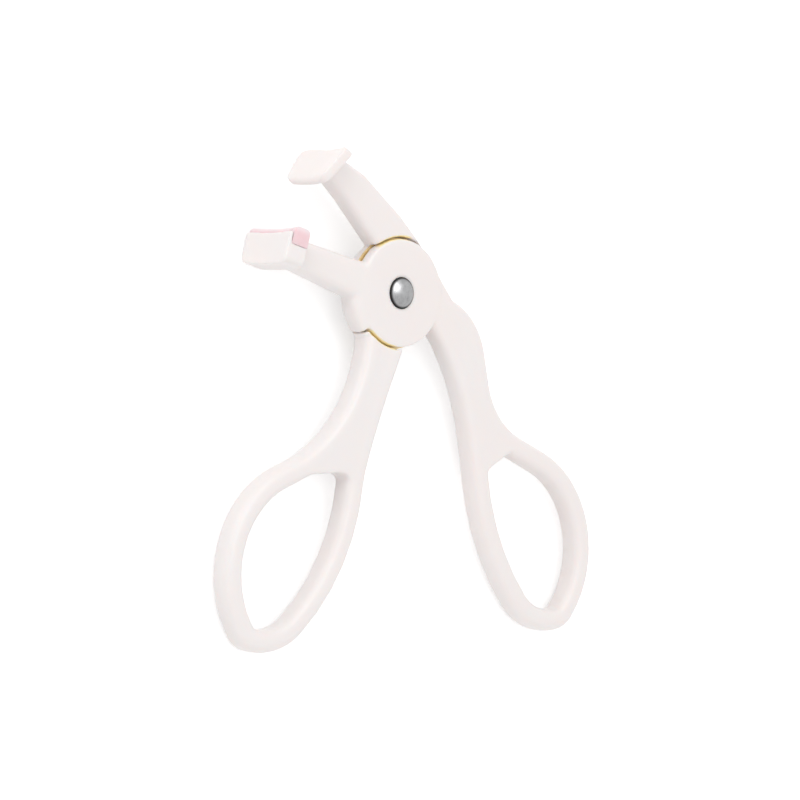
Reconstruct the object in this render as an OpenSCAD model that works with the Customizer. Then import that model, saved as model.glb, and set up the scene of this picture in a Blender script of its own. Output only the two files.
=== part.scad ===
// Partial eyelash curler: two moulded levers cross at a riveted half-lap hub.
// Squeezing the finger loops swings the curved press plate down on the soft pad.
// Sizes in millimetres. The tool lies flat and the rivet stands along Z.

/* [Hub] */
// Diameter of the round lap joint
hub_d = 20.4; // [17:0.2:24]
// Thickness of the moulded levers
body_t = 5; // [4.4:0.1:7]
// Rounding along the levers' edges
edge_r = 1.5; // [0.8:0.1:2]
// Height by which each hub face stands proud of the limbs
hub_rise = 0.06; // [0.02:0.02:0.6]
// Small rounding of the hub's rim
hub_edge_r = 0.4; // [0.2:0.1:1]
// Gap between a hub disc and the step wall round it
seam = 0.4; // [0.3:0.05:0.8]
// Radius of the shoulder walls beside the lap
shoulder_r = 11.7; // [11.4:0.1:13]
// Direction of the stop where the two shoulders meet when the jaws are open
stop_deg = 219.5; // [212:0.5:226]
// Radius of the hollow blends in the loops' upper corners
blend_r = 4; // [2.5:0.25:5]

/* [Rivet] */
// Diameter of the rivet's shank
shank_d = 3; // [2:0.1:4]
// Diameter of the domed head
rivet_head_d = 6; // [5:0.1:8]
// Height of the dome over the head's straight rim
rivet_dome_h = 0.9; // [0.5:0.1:1.6]
// Straight rim of the head, sunk in the front lever
rivet_rim_h = 0.4; // [0.2:0.1:0.8]
// Diameter of the rolled tail
tail_d = 4.8; // [4.4:0.1:6]
// Height of the rolled tail
tail_h = 0.8; // [0.5:0.1:1.4]
// Diameter of the washer under the rolled tail
tail_washer_d = 7.4; // [6.4:0.2:10]
// Thickness of the washer under the rolled tail
tail_washer_t = 0.5; // [0.3:0.1:1]
// Thickness of the brass washer between the levers
lap_washer_t = 0.3; // [0.2:0.05:0.8]
// Gap between the brass washer's rim and the step walls
lap_washer_gap = 0.1; // [0.05:0.01:0.25]
// Radial clearance of the shank in its holes
shank_fit = 0.05; // [0.02:0.01:0.1]
// Running clearance between flat faces
face_fit = 0.03; // [0.02:0.01:0.1]

/* [Jaws] */
// Direction of the pad's arm, counted from the right
arm_deg = 164.5; // [155:0.5:175]
// Opening between press plate and pad
jaw_open = 20; // [14:0.5:24]
// Reach of the pad head's outer face from the rivet
jaw_reach = 31.4; // [28:0.2:36]
// Radius of the eyelid curve across the jaws
eye_r = 22; // [18:0.5:40]
// Width of the pad head along the rivet's direction
head_w = 12.8; // [10:0.2:18]
// Depth of the pad head, outside to inside
head_depth = 4.5; // [4:0.1:6]
// Height of the pad head under the arm's centre line
head_low = 3.5; // [3:0.1:5]
// Height of the outer lip over the arm's centre line
lip_top = 2.5; // [1.5:0.1:3]
// Thickness of the outer lip that backs the pad
lip_t = 0.8; // [0.6:0.1:1.4]
// Rounding of the head's corners
head_r = 1.2; // [0.6:0.1:1.6]
// Half width of the pad's arm at the hub, upper edge
arm_up_root = 3.5; // [3:0.1:5]
// Half width of the pad's arm at the hub, lower edge
arm_low_root = 4.6; // [3.5:0.1:5.5]
// Half width of the pad's arm at the head
arm_tip = 2.75; // [2:0.05:3.2]

/* [Press plate] */
// Thickness of the press plate
plate_t = 2; // [1.4:0.1:2.6]
// Height of the press plate
plate_h = 8.3; // [7:0.1:11]
// Lean of the press plate towards the hub
plate_lean = 10.5; // [0:0.5:16]
// Width of the press plate along its upper edge
plate_top_w = 13.5; // [11:0.1:18]
// Width of the press plate along its pressing edge
plate_low_w = 10.2; // [9:0.1:16]
// Rounding of the press plate's corners
plate_r = 1.6; // [0.8:0.1:2.4]
// Gap left to the pad when the jaws are shut
shut_gap = 0.25; // [0.15:0.05:0.6]
// Place of the upper arm's lower edge on the plate, from the pressing edge
arm_seat_low = 3.2; // [2:0.1:5]
// Place of the upper arm's upper edge below the plate's top
arm_seat_top = 0.5; // [0.2:0.1:2]

/* [Pad] */
// Height of the pad's crown over the arm's centre line
pad_top = 3.7; // [2.8:0.1:4.5]
// Height of the ledge that carries the pad
pad_seat = 0.3; // [-0.4:0.1:0.8]
// Rounding of the pad's crown
pad_r = 1; // [0.5:0.1:1.6]
// Width of the rib that holds the pad in its groove
rib_w = 1.6; // [1:0.1:2]
// Depth of that rib
rib_h = 1.3; // [0.8:0.1:1.8]
// Length of that rib across the head
rib_l = 9; // [6:0.2:10]
// Clearance round the pad and its rib
pad_fit = 0.05; // [0.02:0.01:0.15]

/* [Handles] */
// Width of a finger loop's limb
limb_w = 4.3; // [3.4:0.1:4.8]
// Radius of a loop's outer side
side_r = 18.8; // [16:0.2:22]
// Radius of a loop's base
base_r = 11; // [9:0.2:14]

/* [Left handle] */
// Straight run under the hub
left_arm = 1.4; // [0:0.2:3]
// Radius of the sweep from hub to loop
left_sweep_r = 30; // [24:0.5:36]
// Turn of that sweep
left_sweep = 68; // [60:0.5:74]
// Straight run at the top of the loop
left_top = 1.1; // [0:0.2:4]
// Turn of the outer side
left_side = 101; // [95:0.5:108]
// Straight run above the toe
left_run = 1.4; // [0:0.2:4]
// Radius of the toe
left_toe_r = 2.6; // [2.4:0.1:5]
// Turn of the toe
left_toe = 44; // [36:0.5:47]
// Turn of the base
left_base = 55; // [46:0.5:58]
// Radius of the inner side
left_inner_r = 40; // [34:0.5:46]
// Turn of the inner side
left_inner = 44; // [40:0.5:50]
// Radius of the bend above the loop
left_neck_r = 12; // [6:0.5:18]
// Turn of that bend
left_neck = 10; // [6:0.5:16]

/* [Right handle] */
// Straight run from the hub to the shoulder
right_arm = 6.4; // [4:0.2:9]
// Reach of the gusset between hub and handle, across the handle
gusset_w = 5.2; // [4:0.1:6]
// Depth of the gusset's faces below those of the handle
gusset_sink = 0.12; // [0.12:0.04:0.6]
// Radius of the shoulder beside the hub
right_shoulder_r = 11; // [8:0.5:14]
// Turn of the shoulder
right_shoulder = 53.5; // [46:0.5:60]
// Straight run below the shoulder
right_run = 6.6; // [3:0.2:10]
// Radius of the sweep from shaft to loop
right_sweep_r = 16.5; // [12:0.5:22]
// Turn of that sweep
right_sweep = 54; // [46:0.5:60]
// Straight run at the top of the loop
right_top = 7.7; // [4:0.1:9.5]
// Turn of the outer side
right_side = 106; // [98:0.5:112]
// Radius of the toe
right_toe_r = 4.4; // [2.4:0.1:6]
// Turn of the toe
right_toe = 43; // [36:0.5:46]
// Turn of the base
right_base = 57.5; // [54:0.5:60]
// Radius of the inner side
right_inner_r = 48; // [40:0.5:56]
// Turn of the inner side
right_inner = 32.5; // [26:0.5:38]

/* [Hidden] */
$fn = 64;
IVORY = [0.95, 0.93, 0.91];
PINK = [0.95, 0.85, 0.87];
STEEL = [0.78, 0.79, 0.8];
BRASS = [0.79, 0.63, 0.33];

web_sink = 0.04;
root_run = 3;
plate_arm_stations = [[2.6, 5.4, 125, 10], [-2.6, 11.6, 134, 8.5], [-10.8, 19.4, 136, 6.9]];

hub_r = hub_d / 2;
hub_z = body_t / 2 + hub_rise;
lap_z = lap_washer_t / 2 + face_fit;
step_r = hub_r + seam;
hole_r = shank_d / 2 + shank_fit;
eye_x = jaw_reach + eye_r;
head_end = jaw_reach - head_depth;
pad_x0 = eye_r + lip_t + pad_fit;
pad_x1 = eye_r + head_depth;
rib_x = (pad_x0 + pad_x1) / 2;
plate_low = pad_top + shut_gap;
plate_lag = tan(plate_lean) * plate_h;
seat_w = plate_h - arm_seat_low - arm_seat_top;
seat_mid = arm_seat_low + seat_w / 2;

// A lever is traced from its hub: [x, y, heading] at the start, then runs of
// [bend radius, turn] or [0, length], and an eased way back to the hub.
left_start = [-5.8, -5.4, -93.5];
left_runs = [[0, left_arm], [left_sweep_r, -left_sweep], [0, left_top], [side_r, left_side],
             [0, left_run], [left_toe_r, left_toe], [base_r, left_base], [left_inner_r, left_inner],
             [left_neck_r, -left_neck]];
left_root = [1.1, -5.4, 67];
right_start = [8, -0.8, -25];
right_runs = [[0, right_arm], [right_shoulder_r, -right_shoulder], [0, right_run],
              [right_sweep_r, right_sweep], [0, right_top], [side_r, -right_side],
              [right_toe_r, -right_toe], [base_r, -right_base], [right_inner_r, -right_inner]];
right_root = [10.6, -5.8, 130];
left_trail = trail(left_start, left_runs);
right_trail = trail(right_start, right_runs);
left_back = ease(last(left_trail), left_root);
right_back = joined(ease(last(right_trail), right_root), line(right_root, root_run));
left_front = trail(left_start, [for (k = [0 : 2]) left_runs[k]]);
right_front = trail(right_start, [for (k = [0 : 3]) right_runs[k]]);

// The part stands on its heads' lower ends, with its footprint centred on the origin.
plate_flare = atan((plate_top_w - plate_low_w) / 2 / plate_h);
plate_half = plate_top_w / 2 - plate_r * (tan(plate_flare) + 1 / cos(plate_flare) - 1);
tall = max(head_w / 2, plate_half);
plate_tip_r = rib_x - plate_t / 2 + plate_lag;
plate_tip = at(arm_deg - jaw_open, [eye_x - sqrt(pow(plate_tip_r, 2) - pow(plate_half - plate_r / 2, 2)),
                                    plate_low + plate_h]);
x_low = min([for (p = left_trail) p.x]) - limb_w / 2;
x_high = max([for (p = right_trail) p.x]) + limb_w / 2;
y_low = min([for (p = concat(left_trail, right_trail)) p.y]) - limb_w / 2;
home = [-(x_low + x_high) / 2, -(y_low + plate_tip.y) / 2, tall];

function dir(a) = [cos(a), sin(a)];
// Point on an arm that lies along angle a: r out from the rivet, t towards the other jaw.
function at(a, rt) = rt.x * dir(a) + rt.y * dir(a - 90);
function last(list) = list[len(list) - 1];
function bend(p, r, turn) =
    let (s = sign(turn), c = [p.x, p.y] + s * r * dir(p.z + 90), n = ceil(abs(turn) / 8))
    [for (k = [0 : n]) let (h = p.z + turn * k / n, q = c - s * r * dir(h + 90)) [q.x, q.y, h]];
function line(p, l) = let (q = [p.x, p.y] + l * dir(p.z)) [p, [q.x, q.y, p.z]];
function run(p, s) = s.x == 0 ? line(p, s.y) : bend(p, s.x, s.y);
function trail(p, runs, i = 0) = i == len(runs) ? [p] :
    let (step = run(p, runs[i]))
    concat([for (k = [0 : len(step) - 2]) step[k]], trail(last(step), runs, i + 1));
// Curve that leaves p and reaches q along their headings.
function ease(p, q, n = 8) =
    let (a = [p.x, p.y], d = [q.x, q.y], pull = norm(d - a) / 3,
         b = a + pull * dir(p.z), c = d - pull * dir(q.z))
    [for (k = [0 : n]) let (u = k / n, v = 1 - u,
        m = v * v * v * a + 3 * v * v * u * b + 3 * v * u * u * c + u * u * u * d,
        g = v * v * (b - a) + 2 * v * u * (c - b) + u * u * (d - c))
        [m.x, m.y, atan2(g.y, g.x)]];
function flat(list) = [for (p = list) [p.x, p.y]];
function joined(a, b) = concat(a, [for (k = [1 : len(b) - 1]) b[k]]);
function reversed(list) = [for (k = [len(list) - 1 : -1 : 0]) list[k]];

// Rounded oblong, across and up.
function oblong(w) = let (x = w / 2 - edge_r, y = body_t / 2 - edge_r, n = 4)
    [for (c = [[x, y, 0], [-x, y, 90], [-x, -y, 180], [x, -y, 270]], k = [0 : n])
        [c.x, c.y] + edge_r * dir(c.z + 90 * k / n)];

// Limb of rounded oblong section through stations of [x, y, heading, width].
module limb(stations) {
    m = len(oblong(1));
    n = len(stations);
    points = [for (p = stations, q = oblong(p[3]))
        let (s = [p.x, p.y] + q.x * dir(p.z + 90)) [s.x, s.y, q.y]];
    sides = [for (i = [0 : n - 2], k = [0 : m - 1])
        let (a = i * m + k, b = i * m + (k + 1) % m) each [[a, b + m, b], [a, a + m, b + m]]];
    ends = [for (k = [1 : m - 2]) each
        [[0, k, k + 1], [(n - 1) * m, (n - 1) * m + k + 1, (n - 1) * m + k]]];
    polyhedron(points, concat(sides, ends));
}

// Strip of one width along a trail.
module stroke(points, w) polygon(concat(
    [for (p = points) [p.x, p.y] + w / 2 * dir(p.z + 90)],
    [for (p = reversed(points)) [p.x, p.y] - w / 2 * dir(p.z + 90)]));

// Handle: the bent limb that closes the finger loop, and the web between its two ends.
module handle(front, trace, back) {
    limb([for (p = joined(trace, back)) [p.x, p.y, p.z, limb_w]]);
    linear_extrude(body_t - 2 * web_sink, center = true)
        offset(r = -blend_r) offset(delta = blend_r) {
            polygon(concat(flat(front), flat(back)));
            stroke(front, 0.2);
            stroke(trace, 0.2);
            stroke(back, 0.2);
        }
}

// Gusset that fills the corner over the right handle's root.
module gusset() {
    root = line(right_start, -edge_r)[1];
    tip = line(right_start, 0.9 * right_arm)[1];
    linear_extrude(body_t - 2 * gusset_sink, center = true) polygon([
        flat([root])[0] + gusset_w * dir(root.z + 90), flat([tip])[0] + limb_w / 3 * dir(tip.z + 90),
        flat([tip])[0], flat([root])[0]]);
}

// Round section of a rim: out to radius r, between two heights, with corners of radius e
// on the sides given as -1 for below and 1 for above.
module rim(r0, r, z0, z1, e, sides) {
    low = len(search(-1, sides)) > 0 ? e : 0;
    translate([r0, z0]) square([r - e - r0, z1 - z0]);
    translate([r0, z0 + low]) square([r - r0, z1 - e - z0 - low]);
    for (k = sides) translate([r - e, k > 0 ? z1 - e : z0 + e]) circle(e, $fn = 32);
}

// One half of the lap joint, with its outer rim rounded.
module hub_disc() rotate_extrude() rim(0, hub_r, lap_z, hub_z, hub_edge_r, [1]);

// Wall of full thickness round part of the hub, from one direction to another.
module shoulder(from, to) rotate(from) rotate_extrude(angle = to - from)
    rim(hub_r / 2, shoulder_r, 2 * web_sink - body_t / 2, body_t / 2 - 2 * web_sink, 0.85 * edge_r, [-1, 1]);

// Room for the other lever's half of the joint.
module lap_room() translate([0, 0, -tall]) cylinder(r = step_r, h = tall + lap_z);

// A section, given as distance from the eye's axis and height along the jaw, swept along the lid.
module lid_sweep() translate([eye_x, 0, 0]) rotate([90, 0, 0]) rotate(150)
    rotate_extrude(angle = 60) children();

// A front view of a head, given across and up, cut through along the arm.
module head_view() translate([head_end - head_depth, 0, 0]) rotate([0, -90, 0]) rotate([180, 0, 0])
    linear_extrude(3 * head_depth) children();

module rounded(r) offset(r = r) offset(delta = -r) children();

// Arm of the pad head, tapering away from the hub.
module pad_arm() {
    mid = (arm_up_root - arm_low_root) / 2;
    root = at(arm_deg, [hub_r / 3, mid]);
    tip = at(arm_deg, [head_end + head_depth / 4, 0]);
    limb([[root.x, root.y, arm_deg, arm_up_root + arm_low_root], [tip.x, tip.y, arm_deg, 2 * arm_tip]]);
}

// Arm of the press plate: it leaves the hub to one side and bends in to the plate.
module plate_arm() {
    a = arm_deg - jaw_open;
    seat_r = rib_x + tan(plate_lean) * seat_mid;
    tip = at(a, [eye_x - seat_r, plate_low + seat_mid]);
    limb(concat(plate_arm_stations, [[tip.x, tip.y, a, seat_w]]));
}

module pad_head() rotate(arm_deg) intersection() {
    lid_sweep() translate([eye_r, -head_low]) square([head_depth, head_low + lip_top]);
    head_view() rounded(head_r) translate([-head_w / 2, -head_low]) square([head_w, 3 * head_low]);
}

// Seat of the pad, behind the lip, with the groove for its rib.
module pad_room() rotate(arm_deg) {
    lid_sweep() translate([eye_r + lip_t, pad_seat]) square([head_depth - lip_t + pad_fit, 2 * pad_top]);
    rib(pad_fit);
}

// Rib under the pad, or with some room round it the groove that takes it.
module rib(room) intersection() {
    lid_sweep() translate([rib_x - rib_w / 2 - room, pad_seat - rib_h - room])
        square([rib_w + 2 * room, rib_h + lip_top]);
    head_view() square([rib_l + 2 * room, 4 * head_low], center = true);
}

// The press plate's lower edge is fully rounded and meets the middle of the pad.
module press_plate() rotate(arm_deg - jaw_open) intersection() {
    lid_sweep() translate([rib_x, plate_low + plate_t / 2]) rotate(-plate_lean) {
        translate([-plate_t / 2, 0]) square([plate_t, plate_h + plate_t]);
        circle(d = plate_t, $fn = 32);
    }
    head_view() rounded(plate_r) polygon([
        [-plate_low_w / 2, plate_low], [plate_low_w / 2, plate_low],
        [plate_top_w / 2, plate_low + plate_h], [-plate_top_w / 2, plate_low + plate_h]]);
}

module front_lever() color(IVORY) translate(home) difference() {
    union() {
        difference() {
            union() {
                handle(right_front, right_trail, right_back);
                shoulder(arm_deg, stop_deg);
                gusset();
                pad_arm();
            }
            lap_room();
        }
        hub_disc();
        pad_head();
    }
    pad_room();
    translate([0, 0, -tall]) cylinder(r = hole_r, h = 2 * tall);
    translate([0, 0, hub_z - rivet_rim_h]) cylinder(d = rivet_head_d + 2 * shank_fit, h = tall);
}

module rear_lever() color(IVORY) translate(home) difference() {
    union() {
        difference() {
            union() {
                difference() {
                    union() {
                        handle(left_front, left_trail, left_back);
                        shoulder(stop_deg, stop_deg + 30);
                    }
                    rotate(stop_deg) translate([0, -tall, -tall])
                        cube([2 * shoulder_r, tall + seam, 2 * tall]);
                }
                plate_arm();
            }
            rotate([180, 0, 0]) lap_room();
        }
        rotate([180, 0, 0]) hub_disc();
        press_plate();
    }
    translate([0, 0, -tall]) cylinder(r = hole_r, h = 2 * tall);
}

module lash_pad() color(PINK) translate(home) rotate(arm_deg) {
    intersection() {
        lid_sweep() {
            translate([pad_x0, pad_seat]) square([pad_x1 - pad_x0, pad_top - pad_r - pad_seat]);
            translate([pad_x0 + pad_r, pad_seat]) square([pad_x1 - pad_x0 - 2 * pad_r, pad_top - pad_seat]);
            for (x = [pad_x0 + pad_r, pad_x1 - pad_r]) translate([x, pad_top - pad_r]) circle(pad_r, $fn = 32);
        }
        head_view() translate([-head_w / 2, -head_low]) square([head_w, 3 * head_low]);
    }
    rib(0);
}

module pivot_rivet() color(STEEL) translate(home) {
    dome_r = (rivet_head_d * rivet_head_d / 4 + rivet_dome_h * rivet_dome_h) / (2 * rivet_dome_h);
    tail_z = -hub_z - face_fit - tail_washer_t;
    rotate_extrude() {
        translate([0, tail_z]) square([shank_d / 2, hub_z - tail_z]);
        translate([0, hub_z - rivet_rim_h]) square([rivet_head_d / 2, rivet_rim_h]);
        intersection() {
            translate([0, hub_z + rivet_dome_h - dome_r]) circle(dome_r, $fn = 128);
            translate([0, hub_z]) square([rivet_head_d / 2, rivet_dome_h]);
        }
        translate([0, tail_z - tail_h]) square([(tail_d - tail_h) / 2, tail_h]);
        translate([(tail_d - tail_h) / 2, tail_z - tail_h / 2]) circle(d = tail_h, $fn = 32);
    }
}

module lap_washer() color(BRASS) translate(home) difference() {
    cylinder(r = step_r - lap_washer_gap, h = lap_washer_t, center = true);
    cylinder(r = hole_r, h = 2 * lap_washer_t, center = true);
}

module tail_washer() color(STEEL) translate(home) translate([0, 0, -hub_z - face_fit - tail_washer_t])
    difference() {
        cylinder(d = tail_washer_d, h = tail_washer_t);
        translate([0, 0, -1]) cylinder(r = hole_r, h = tail_washer_t + 2);
    }

front_lever();
rear_lever();
lash_pad();
pivot_rivet();
lap_washer();
tail_washer();
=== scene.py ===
import math

import bmesh
import bpy
from mathutils import Matrix, Vector


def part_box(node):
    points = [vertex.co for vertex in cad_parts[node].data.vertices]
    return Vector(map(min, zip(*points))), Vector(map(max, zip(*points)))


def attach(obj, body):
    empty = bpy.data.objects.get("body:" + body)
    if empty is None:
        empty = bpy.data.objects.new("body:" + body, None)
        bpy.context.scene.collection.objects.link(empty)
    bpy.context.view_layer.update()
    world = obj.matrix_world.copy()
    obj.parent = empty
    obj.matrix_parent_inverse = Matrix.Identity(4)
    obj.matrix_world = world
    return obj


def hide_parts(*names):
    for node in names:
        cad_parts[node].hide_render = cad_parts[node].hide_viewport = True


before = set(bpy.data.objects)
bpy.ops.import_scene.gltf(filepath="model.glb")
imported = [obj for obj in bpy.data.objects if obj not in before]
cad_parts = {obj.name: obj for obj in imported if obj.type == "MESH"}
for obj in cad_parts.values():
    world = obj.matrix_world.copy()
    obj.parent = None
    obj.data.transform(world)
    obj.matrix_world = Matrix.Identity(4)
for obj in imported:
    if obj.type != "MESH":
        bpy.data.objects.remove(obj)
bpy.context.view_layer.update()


# Front lever: one ivory moulding with the T head that carries the pad, the front half
# of the hub and the right finger loop. It leaves the mould with soft edges and a satin
# skin, and a hair of flash along the parting plane at half its thickness.
MM = 0.001
IVORY = (0.868, 0.828, 0.818)
IVORY_WARM = (0.878, 0.818, 0.800)
# Gold painted on the plastic in and along the slits: painted light from the brass washer.
BRASS_PAINTED_GLOW = (0.950, 0.800, 0.440)
scene = bpy.context.scene
hub_low, hub_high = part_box("lap_washer")
hub = (hub_low + hub_high) / 2


def mm(*sizes):
    """Sizes in millimetres, turned to metres."""
    return [size * MM for size in sizes]


# Gold painted on the plastic in the hub's slits and on their lips, painted light that
# stands in for the brass washer's warm light in the gaps, fainter in the stop's gap; and
# the flash. Each pair runs from nothing to full, in distances from the hub's centre or
# from the line through the stop.
top_slit_low, top_slit_left, top_slit_right = mm(6.2, 7.2), mm(-6, -4.8), mm(3.0, 1.8)
low_slit_top, low_slit_right = mm(-6.7, -7.3), mm(-0.6, -1.8)
ring_inside, ring_outside = mm(9.9, 10.1), mm(10.95, 10.75)
stop_side, stop_inside, stop_right = mm(0.4, 0.2), mm(10.0, 10.4), mm(0, -1)
stop_lip = mm(2.45, 2.05)
glow_deep, glow_lip = mm(0.7, 1.3), mm(2.75, 2.45)
flash_edge = mm(0.11, 0.02)
stop_turn = math.radians(219.5)
stop_share = 0.35

# The skin over a solid: its voxels, the rounds of smoothing that soften all its edges, and
# the further rounds for the handles and for the corners at the pad arm's root.
skin_voxel = 0.26 * MM
edge_rounds, soft_rounds = 7, 30
handle_top, handle_fade = 14 * MM, 6 * MM
arm_corners = [hub + Vector((-11, side, 2.2)) * MM for side in (-2, 5)]
corner_reach, corner_gain = 6 * MM, 1.6
weld = 1e-6


def grey(level):
    """A colour of the same level in each channel."""
    return (level,) * 3


def ramp(nodes, factor, stops):
    """A colour ramp with the given stops of (position, colour), fed by factor."""
    band = nodes.new("ShaderNodeValToRGB")
    while len(band.color_ramp.elements) < len(stops):
        band.color_ramp.elements.new(0.5)
    for element, (place, colour) in zip(band.color_ramp.elements, stops):
        element.position = place
        element.color = (*colour, 1)
    band.id_data.links.new(factor, band.inputs["Fac"])
    return band.outputs["Color"]


def noise(nodes, vector, scale, detail):
    """Noise of a scale given in repeats per metre."""
    cloud = nodes.new("ShaderNodeTexNoise")
    cloud.inputs["Scale"].default_value = scale
    cloud.inputs["Detail"].default_value = detail
    cloud.id_data.links.new(vector, cloud.inputs["Vector"])
    return cloud.outputs["Fac"]


def bump(nodes, height, distance, strength, under=None):
    """A bump of the given height in metres, over another bump if there is one."""
    relief = nodes.new("ShaderNodeBump")
    relief.inputs["Distance"].default_value = distance
    relief.inputs["Strength"].default_value = strength
    relief.id_data.links.new(height, relief.inputs["Height"])
    if under is not None:
        relief.id_data.links.new(under, relief.inputs["Normal"])
    return relief.outputs["Normal"]


def fade(nodes, value, start, end):
    """A smooth step from 0 at start to 1 at end."""
    step = nodes.new("ShaderNodeMapRange")
    step.interpolation_type = "SMOOTHSTEP"
    (low, at_low), (high, at_high) = sorted([(start, 0), (end, 1)])
    step.inputs["From Min"].default_value = low
    step.inputs["From Max"].default_value = high
    step.inputs["To Min"].default_value = at_low
    step.inputs["To Max"].default_value = at_high
    step.id_data.links.new(value, step.inputs["Value"])
    return step.outputs[0]


def combine(nodes, operation, first, *others):
    """The values joined one after the other by an arithmetic operation."""
    for other in others:
        joint = nodes.new("ShaderNodeMath")
        joint.operation = operation
        joint.id_data.links.new(first, joint.inputs[0])
        if isinstance(other, (int, float)):
            joint.inputs[1].default_value = other
        else:
            joint.id_data.links.new(other, joint.inputs[1])
        first = joint.outputs[0]
    return first


def tinted(nodes, colour, factor, tint):
    """A colour that turns to a fixed tint where factor is 1."""
    mix = nodes.new("ShaderNodeMix")
    mix.data_type = "RGBA"
    mix.inputs["B"].default_value = (*tint, 1)
    mix.id_data.links.new(factor, mix.inputs["Factor"])
    mix.id_data.links.new(colour, mix.inputs["A"])
    return mix.outputs["Result"]


def new_material(name):
    """A material with its shader, its nodes and its object coordinates."""
    material = bpy.data.materials.new(name)
    material.use_nodes = True
    nodes = material.node_tree.nodes
    shader = nodes["Principled BSDF"]
    place = nodes.new("ShaderNodeTexCoord").outputs["Object"]
    return material, nodes, shader, place


def round_hub(nodes, place):
    """Distances from the hub's centre: along X, Y and Z, and out from the rivet's axis."""
    centred = nodes.new("ShaderNodeVectorMath")
    centred.operation = "SUBTRACT"
    centred.inputs[1].default_value = hub
    centred.id_data.links.new(place, centred.inputs[0])
    split = nodes.new("ShaderNodeSeparateXYZ")
    split.id_data.links.new(centred.outputs[0], split.inputs[0])
    x, y, z = split.outputs
    squares = combine(nodes, "ADD", combine(nodes, "MULTIPLY", x, x),
                      combine(nodes, "MULTIPLY", y, y))
    return x, y, z, combine(nodes, "SQRT", squares, 0)


def painted_brass_glow(nodes, x, y, from_middle, from_axis):
    """1 where gold is painted in the slits and on their lips, painted light from the brass
    washer, and less of it in the stop's gap.
    """
    top_slit = combine(nodes, "MULTIPLY", fade(nodes, y, *top_slit_low),
                       fade(nodes, x, *top_slit_left), fade(nodes, x, *top_slit_right))
    low_slit = combine(nodes, "MULTIPLY", fade(nodes, y, *low_slit_top),
                       fade(nodes, x, *low_slit_right))
    ring_slits = combine(nodes, "MULTIPLY", combine(nodes, "ADD", top_slit, low_slit),
                         fade(nodes, from_axis, *ring_inside),
                         fade(nodes, from_axis, *ring_outside))
    off_stop = combine(nodes, "ADD", combine(nodes, "MULTIPLY", x, -math.sin(stop_turn)),
                       combine(nodes, "MULTIPLY", y, math.cos(stop_turn)))
    stop_gap = combine(nodes, "MULTIPLY",
                       fade(nodes, combine(nodes, "ABSOLUTE", off_stop, 0), *stop_side),
                       fade(nodes, from_axis, *stop_inside), fade(nodes, x, *stop_right),
                       fade(nodes, from_middle, *stop_lip), stop_share)
    return combine(nodes, "MULTIPLY", combine(nodes, "MAXIMUM", ring_slits, stop_gap),
                   fade(nodes, from_middle, *glow_deep), fade(nodes, from_middle, *glow_lip))


def ivory_plastic(name):
    material, nodes, shader, place = new_material(name)
    link = material.node_tree.links.new
    shader.inputs["IOR"].default_value = 1.49
    shader.inputs["Subsurface Weight"].default_value = 0.3
    shader.inputs["Subsurface Radius"].default_value = (1.0, 0.72, 0.58)
    shader.inputs["Subsurface Scale"].default_value = 1.2 * MM
    x, y, z, from_axis = round_hub(nodes, place)
    from_middle = combine(nodes, "ABSOLUTE", z, 0)
    cloudy = noise(nodes, place, scale=55, detail=2)
    # The base colour turns gold in and along the slits: painted light from the brass
    # washer.
    link(tinted(nodes, ramp(nodes, cloudy, [(0.3, IVORY), (0.7, IVORY_WARM)]),
                painted_brass_glow(nodes, x, y, from_middle, from_axis), BRASS_PAINTED_GLOW),
         shader.inputs["Base Color"])
    link(ramp(nodes, noise(nodes, place, scale=260, detail=3),
              [(0.25, grey(0.33)), (0.75, grey(0.45))]), shader.inputs["Roughness"])
    skin = bump(nodes, noise(nodes, place, scale=1500, detail=2),
                distance=0.004 * MM, strength=0.7)
    pull = bump(nodes, noise(nodes, place, scale=140, detail=2),
                distance=0.03 * MM, strength=0.6, under=skin)
    flash = fade(nodes, from_middle, *flash_edge)
    link(bump(nodes, flash, distance=0.02 * MM, strength=0.8, under=pull),
         shader.inputs["Normal"])
    return material


def made(piece):
    """The mesh of an object with its modifiers carried out; the object goes."""
    bpy.context.view_layer.update()
    depsgraph = bpy.context.evaluated_depsgraph_get()
    mesh = bpy.data.meshes.new_from_object(piece.evaluated_get(depsgraph))
    bpy.data.objects.remove(piece)
    return mesh


def placed(name, data):
    """An object of the given mesh, camera or lamp, put in the scene."""
    thing = bpy.data.objects.new(name, data)
    scene.collection.objects.link(thing)
    return thing


def smooth_piece(name, mesh):
    """An object of the given mesh with all its faces shaded smooth."""
    for face in mesh.polygons:
        face.use_smooth = True
    return placed(name, mesh)


def moulding(node, name, corners):
    """A skin over a copy of a solid: merged, remeshed and smoothed, most on the handle
    and at the given corners."""
    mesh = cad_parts[node].data.copy()
    mesh.materials.clear()
    bm = bmesh.new()
    bm.from_mesh(mesh)
    bmesh.ops.remove_doubles(bm, verts=bm.verts, dist=weld)
    bm.to_mesh(mesh)
    bm.free()
    rough = placed(name + "_rough", mesh)
    skin = rough.modifiers.new("skin", "REMESH")
    skin.mode = "VOXEL"
    skin.voxel_size = skin_voxel
    eased = placed(name + "_eased", made(rough))
    soft = eased.vertex_groups.new(name="soft")
    for vert in eased.data.vertices:
        handle = (hub.y - handle_top - vert.co.y) / handle_fade
        near = [1 - (vert.co - corner).length / corner_reach for corner in corners]
        weight = max([handle] + [corner_gain * share for share in near])
        soft.add([vert.index], max(0, min(1, weight)), "REPLACE")
    for group, rounds in (("", edge_rounds), ("soft", soft_rounds)):
        ease = eased.modifiers.new("ease", "SMOOTH")
        ease.factor = 0.5
        ease.iterations = rounds
        ease.vertex_group = group
    done = made(eased)
    done.name = name
    return smooth_piece(name, done)


plastic = ivory_plastic("ivory_plastic")
front = moulding("front_lever", "front_moulding", arm_corners)
front.data.materials.append(plastic)
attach(front, "front")
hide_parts("front_lever")


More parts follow.
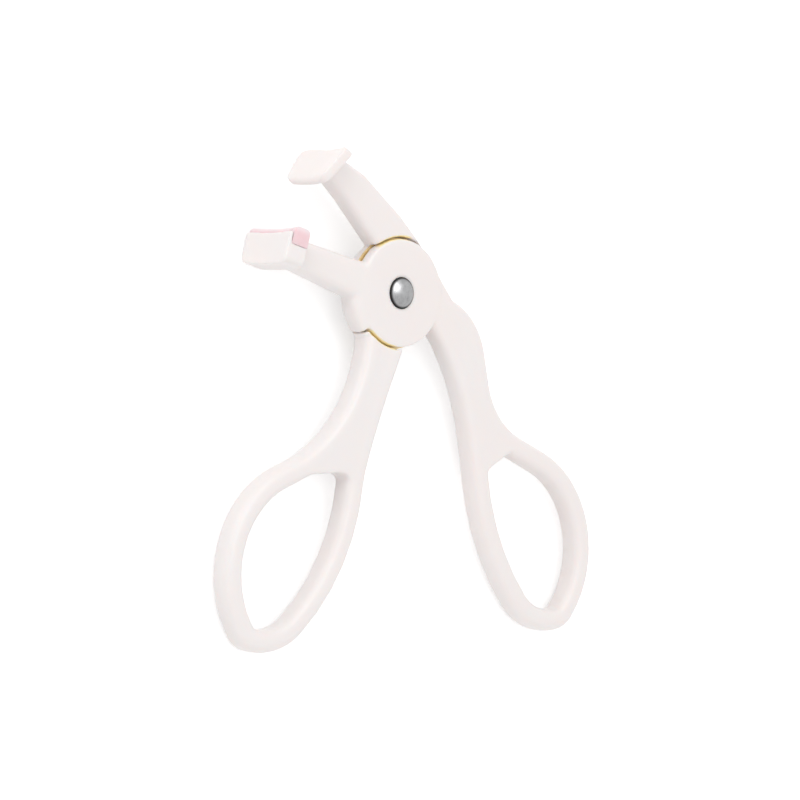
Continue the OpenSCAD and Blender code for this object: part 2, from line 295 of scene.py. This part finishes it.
# Rear lever: the second moulding, with the thin press plate, the rear half of the hub
# and the left finger loop, from the same ivory batch. The rivet holds it on the front
# lever and lets it turn.
rear = moulding("rear_lever", "rear_moulding", [])
rear.data.materials.append(plastic)
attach(rear, "rear")
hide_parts("rear_lever")


# Lash pad: soft pink silicone, moulded to the lid's curve with a full crown, pushed on
# the head by a rib along its underside. It is a little translucent, and its crown is
# painted paler: a painted sheen for the white it reflects when seen edge on.
PINK = (0.860, 0.600, 0.635)
PINK_PALE = (0.870, 0.670, 0.695)
PINK_PAINTED_SHEEN = (0.875, 0.775, 0.795)
arm_deg = 164.5
eye_to_rivet = 53.4 * MM
pad_inner, pad_outer = mm(22.85, 26.5)
pad_seat, pad_crown = mm(0.3, 3.7)
pad_half, pad_spare = 6.4 * MM, 1.2
crown_round, crown_steps = 0.95 * MM, 7
end_round, end_steps = 0.16 * MM, 3
rib_half, rib_depth, rib_reach, rib_overlap = mm(0.8, 1.3, 4.5, 0.2)
sheen_depth = 1.3 * MM
lid_steps = 28
short_share, sharp_turn = 0.3, 0.8
tight_weld = 1e-7
out = Vector((math.cos(math.radians(arm_deg)), math.sin(math.radians(arm_deg)), 0))
up_jaw = Vector((out.y, -out.x, 0))
eye = hub + eye_to_rivet * out


def silicone(name):
    material, nodes, shader, place = new_material(name)
    link = material.node_tree.links.new
    shader.inputs["IOR"].default_value = 1.42
    shader.inputs["Subsurface Weight"].default_value = 0.35
    shader.inputs["Subsurface Radius"].default_value = (1.0, 0.45, 0.45)
    shader.inputs["Subsurface Scale"].default_value = 1.1 * MM
    shader.inputs["Sheen Weight"].default_value = 0.22
    shader.inputs["Sheen Roughness"].default_value = 0.5
    along_jaw = nodes.new("ShaderNodeVectorMath")
    along_jaw.operation = "DOT_PRODUCT"
    along_jaw.inputs[1].default_value = up_jaw
    link(place, along_jaw.inputs[0])
    height = combine(nodes, "SUBTRACT", along_jaw.outputs["Value"], eye.dot(up_jaw))
    cloudy = noise(nodes, place, scale=420, detail=3)
    # The crown is painted paler towards its top: a painted sheen.
    link(tinted(nodes, ramp(nodes, cloudy, [(0.3, PINK), (0.72, PINK_PALE)]),
                fade(nodes, height, pad_crown - sheen_depth, pad_crown), PINK_PAINTED_SHEEN),
         shader.inputs["Base Color"])
    link(ramp(nodes, noise(nodes, place, scale=700, detail=3),
              [(0.3, grey(0.30)), (0.7, grey(0.46))]), shader.inputs["Roughness"])
    grain = bump(nodes, noise(nodes, place, scale=2600, detail=2),
                 distance=0.006 * MM, strength=0.7)
    link(bump(nodes, noise(nodes, place, scale=320, detail=2),
              distance=0.03 * MM, strength=0.7, under=grain), shader.inputs["Normal"])
    return material


def sweep(bm, outline, turn):
    """A section of (distance from the eye's axis, height) swept along the lid both ways."""
    corners = [bm.verts.new(eye - r * out + h * up_jaw) for r, h in outline]
    section = bm.faces.new(corners)
    bmesh.ops.rotate(bm, verts=corners, cent=eye, matrix=Matrix.Rotation(-turn, 3, up_jaw))
    bmesh.ops.spin(bm, geom=[section, *section.edges, *section.verts], cent=eye,
                   axis=up_jaw, angle=2 * turn, steps=lid_steps)
    bmesh.ops.recalc_face_normals(bm, faces=bm.faces)


def finished(bm, name):
    """The mesh of a bmesh, which is then freed."""
    mesh = bpy.data.meshes.new(name)
    bm.to_mesh(mesh)
    bm.free()
    return mesh


def is_crown_rim(edge):
    """Whether an edge lies along the pad, between its crown and one of its sides."""
    return (edge.calc_length() < short_share * (pad_outer - pad_inner)
            and edge.calc_face_angle(0) > sharp_turn
            and (edge.verts[0].co - eye).dot(up_jaw) > (pad_seat + pad_crown) / 2)


def silicone_pad():
    """A sweep that is too long, rounded along its crown, with its ends cut flat and
    rounded, and the rib under it."""
    bm = bmesh.new()
    sweep(bm, [(pad_inner, pad_seat), (pad_outer, pad_seat),
               (pad_outer, pad_crown), (pad_inner, pad_crown)],
          math.asin(pad_spare * pad_half / pad_inner))
    bmesh.ops.bevel(bm, geom=[edge for edge in bm.edges if is_crown_rim(edge)],
                    offset=crown_round, affect="EDGES", segments=crown_steps, profile=0.5,
                    material=-1)
    for side in (-1, 1):
        cut = bmesh.ops.bisect_plane(
            bm, geom=[*bm.verts, *bm.edges, *bm.faces], dist=tight_weld,
            plane_co=(0, 0, hub.z + side * pad_half), plane_no=(0, 0, side),
            clear_outer=True)["geom_cut"]
        rim = [item for item in cut if isinstance(item, bmesh.types.BMEdge)]
        end = bmesh.ops.contextual_create(bm, geom=rim)["faces"][0]
        bmesh.ops.bevel(bm, geom=end.edges[:], offset=end_round, affect="EDGES",
                        segments=end_steps, profile=0.5, material=-1, clamp_overlap=True)
    bmesh.ops.recalc_face_normals(bm, faces=bm.faces)
    middle = (pad_inner + pad_outer) / 2
    rib_low, rib_high = pad_seat - rib_depth, pad_seat + rib_overlap
    sweep(bm, [(middle - rib_half, rib_low), (middle + rib_half, rib_low),
               (middle + rib_half, rib_high), (middle - rib_half, rib_high)],
          math.asin(rib_reach / middle))
    return smooth_piece("silicone_pad", finished(bm, "silicone_pad"))


pad = silicone_pad()
pad.data.materials.append(silicone("pink_silicone"))
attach(pad, "front")
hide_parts("lash_pad")


# Pivot rivet: turned steel with a polished dome, pressed through both hub halves and
# rolled over at the back. Fine turning rings and a few handling scratches stay in it,
# and its rim is painted near black: painted shade where the head sinks in the plastic.
STEEL = (0.420, 0.422, 0.428)
STEEL_DULL = (0.340, 0.342, 0.348)
STEEL_PAINTED_SHADE = (0.030, 0.029, 0.029)
rim_shade = mm(2.4, 2.85)
scratch_turn, scratch_squeeze = math.radians(8), 0.06
rivet_low, rivet_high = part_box("pivot_rivet")
head_r, dome_h, rim_h, rim_roll = mm(3.0, 0.9, 0.4, 0.1)
shank_r, tail_r, tail_h = mm(1.5, 2.4, 0.8)
dome_steps, tail_steps, turn_steps = 14, 10, 96
roll_turns = (0.2, 0.6, 1.0, 1.3, math.pi / 2)
tail_dimple = [mm(0.8, 0.02), mm(0.55, 0.25), mm(0, 0.3)]


def polished_steel(name):
    material, nodes, shader, place = new_material(name)
    link = material.node_tree.links.new
    shader.inputs["Metallic"].default_value = 1
    from_axis = round_hub(nodes, place)[3]
    rings = nodes.new("ShaderNodeCombineXYZ")
    link(from_axis, rings.inputs["X"])
    turned = noise(nodes, rings.outputs[0], scale=9000, detail=2)
    streaks = nodes.new("ShaderNodeMapping")
    streaks.inputs["Rotation"].default_value = (0, 0, scratch_turn)
    streaks.inputs["Scale"].default_value = (1, scratch_squeeze, 1)
    link(place, streaks.inputs["Vector"])
    scratch = noise(nodes, streaks.outputs[0], scale=6000, detail=3)
    cloudy = noise(nodes, place, scale=900, detail=3)
    # Towards the rim the base colour turns near black: painted shade.
    link(tinted(nodes, ramp(nodes, cloudy, [(0.3, STEEL_DULL), (0.62, STEEL)]),
                fade(nodes, from_axis, *rim_shade), STEEL_PAINTED_SHADE), shader.inputs["Base Color"])
    link(ramp(nodes, scratch, [(0.35, grey(0.26)), (0.7, grey(0.38))]),
         shader.inputs["Roughness"])
    fine = bump(nodes, turned, distance=0.003 * MM, strength=0.5)
    link(bump(nodes, scratch, distance=0.003 * MM, strength=0.5, under=fine),
         shader.inputs["Normal"])
    return material


def turned_piece(name, profile):
    """A profile of (radius, height) that starts and ends on the rivet's axis, turned
    round it."""
    bm = bmesh.new()
    points = [bm.verts.new((hub.x + r, hub.y, z)) for r, z in profile]
    edges = [bm.edges.new(pair) for pair in zip(points, points[1:])]
    bmesh.ops.spin(bm, geom=points + edges, cent=(hub.x, hub.y, 0), axis=(0, 0, 1),
                   angle=math.tau, steps=turn_steps, use_merge=True)
    bmesh.ops.remove_doubles(bm, verts=bm.verts, dist=tight_weld)
    bmesh.ops.recalc_face_normals(bm, faces=bm.faces)
    return smooth_piece(name, finished(bm, name))


def domed_rivet():
    """Dome, rolled rim, shank, and the tail with its round edge and its dimple."""
    top, foot = rivet_high.z, rivet_low.z
    ball = (head_r ** 2 + dome_h ** 2) / (2 * dome_h)
    reach = math.asin(head_r / ball)
    dome_turns = [reach * k / dome_steps for k in range(dome_steps)]
    profile = [(ball * math.sin(a), top - ball + ball * math.cos(a)) for a in dome_turns]
    face = top - dome_h
    profile += [(head_r - rim_roll + rim_roll * math.sin(a),
                 face - rim_roll + rim_roll * math.cos(a)) for a in roll_turns]
    profile += [(head_r, face - rim_h), (shank_r, face - rim_h), (shank_r, foot + tail_h)]
    bulge = tail_h / 2
    tail_turns = [math.pi / 2 - math.pi * k / tail_steps for k in range(tail_steps + 1)]
    profile += [(tail_r - bulge + bulge * math.cos(a), foot + bulge + bulge * math.sin(a))
                for a in tail_turns]
    profile += [(r, foot + h) for r, h in tail_dimple]
    return turned_piece("domed_rivet", profile)


steel = polished_steel("polished_steel")
rivet = domed_rivet()
rivet.data.materials.append(steel)
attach(rivet, "front")
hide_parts("pivot_rivet")


# Lap washer: thin rolled brass, stamped round, between the two hub halves on the rivet.
# Only its rim shows, as a gold line in the slits over and under the hub.
BRASS = (0.770, 0.590, 0.300)
BRASS_BRIGHT = (0.870, 0.700, 0.400)


def rolled_brass(name):
    material, nodes, shader, place = new_material(name)
    link = material.node_tree.links.new
    shader.inputs["Metallic"].default_value = 1
    link(ramp(nodes, noise(nodes, place, scale=800, detail=3),
              [(0.35, BRASS), (0.65, BRASS_BRIGHT)]), shader.inputs["Base Color"])
    link(ramp(nodes, noise(nodes, place, scale=2500, detail=3),
              [(0.3, grey(0.28)), (0.7, grey(0.42))]), shader.inputs["Roughness"])
    link(bump(nodes, noise(nodes, place, scale=4000, detail=2),
              distance=0.004 * MM, strength=0.6), shader.inputs["Normal"])
    return material


lap_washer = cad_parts["lap_washer"]
lap_washer.data.materials.clear()
lap_washer.data.materials.append(rolled_brass("rolled_brass"))


# Tail washer: a plain steel washer, stamped from sheet. The rivet's rolled tail holds it
# against the rear lever, so that the tail doesn't cut into the plastic.
tail_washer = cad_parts["tail_washer"]
tail_washer.data.materials.clear()
tail_washer.data.materials.append(steel)


# Camera: in front of the tool and to its left, level with it, about 0.65 m away. The
# rivet's dome lies a few pixels right of the picture's middle and some way above it.
view_turn, view_lift = math.radians(42.0), math.radians(0.8)
distance, pixel, picture_side = 650 * MM, 0.1875 * MM, 800
dome_right, dome_above, dome_front = 4 * pixel, 107 * pixel, 3.1 * MM
sensor = 36
towards = Vector((-math.sin(view_turn) * math.cos(view_lift), math.sin(view_lift),
                  math.cos(view_turn) * math.cos(view_lift)))
right = (-towards).cross(Vector((0, 1, 0))).normalized()
upright = right.cross(-towards)
aim = Vector((hub.x, hub.y, hub.z + dome_front))
spot = aim + towards * distance - right * dome_right - upright * dome_above
camera = placed("camera", bpy.data.cameras.new("camera"))
camera.data.lens = sensor * distance / pixel / picture_side
camera.data.sensor_width = sensor
camera.data.clip_start = 0.01
camera.matrix_world = Matrix((
    (right.x, upright.x, towards.x, spot.x),
    (right.y, upright.y, towards.y, spot.y),
    (right.z, upright.z, towards.z, spot.z),
    (0, 0, 0, 1)))
scene.camera = camera


# Table and light: a white table just under the heads' lower ends and the loops, even
# light from all round, a small soft lamp that lifts the jaws, and a lamp overhead that
# shows in reflections only and puts the glint on the rivet.
table_half, table_grey, table_glow = 3, 0.85, 0.4
heads_y, heads_to_loops, loops_rise, table_gap = mm(26, 74, 3.9, 0.2)
table_tilt = math.atan2(loops_rise, heads_to_loops)
light_level, seen_level = 0.96, 1.0


def seeing_rays(nodes):
    """1 on the rays that see the white ground (camera, glossy, transmission), else 0."""
    path = nodes.new("ShaderNodeLightPath").outputs
    return combine(nodes, "MAXIMUM", path["Is Camera Ray"], path["Is Glossy Ray"],
                   path["Is Transmission Ray"])


def white_table():
    bm = bmesh.new()
    bmesh.ops.create_grid(bm, x_segments=1, y_segments=1, size=table_half)
    bmesh.ops.rotate(bm, verts=bm.verts, cent=(0, 0, 0),
                     matrix=Matrix.Rotation(-table_tilt, 3, "X"))
    bmesh.ops.translate(bm, verts=bm.verts,
                        vec=(0, 0, math.tan(table_tilt) * heads_y - table_gap))
    table = placed("table", finished(bm, "table"))
    material = bpy.data.materials.new("white_table")
    material.use_nodes = True
    nodes, link = material.node_tree.nodes, material.node_tree.links.new
    shader = nodes["Principled BSDF"]
    shader.inputs["Base Color"].default_value = (*grey(table_grey), 1)
    shader.inputs["Roughness"].default_value = 0.9
    shader.inputs["Specular IOR Level"].default_value = 0.1
    shader.inputs["Emission Color"].default_value = (1, 1, 1, 1)
    link(combine(nodes, "MULTIPLY", seeing_rays(nodes), table_glow),
         shader.inputs["Emission Strength"])
    table.data.materials.append(material)


def soft_lamp(name, place, size, watts, shades):
    """A round lamp that points at the tool; without shades it shows in reflections only."""
    lamp = placed(name, bpy.data.lights.new(name, "AREA"))
    lamp.data.shape = "DISK"
    lamp.data.size = size
    lamp.data.energy = watts
    lamp.location = place
    lamp.rotation_euler = (-lamp.location).to_track_quat("-Z", "Y").to_euler()
    lamp.visible_diffuse = shades


white_table()
soft_lamp("jaw_lamp", (-0.26, 0.30, 0.18), size=0.24, watts=0.28, shades=True)
soft_lamp("glint_lamp", (0.06, 0.46, 0.98), size=0.75, watts=4.0, shades=False)

world = bpy.data.worlds.new("studio")
scene.world = world
world.use_nodes = True
nodes, link = world.node_tree.nodes, world.node_tree.links.new
background = nodes["Background"]
background.inputs["Color"].default_value = (1, 1, 1, 1)
level = nodes.new("ShaderNodeMapRange")
level.inputs["To Min"].default_value = light_level
level.inputs["To Max"].default_value = seen_level
link(seeing_rays(nodes), level.inputs["Value"])
link(level.outputs[0], background.inputs["Strength"])

scene.view_settings.view_transform = "Standard"
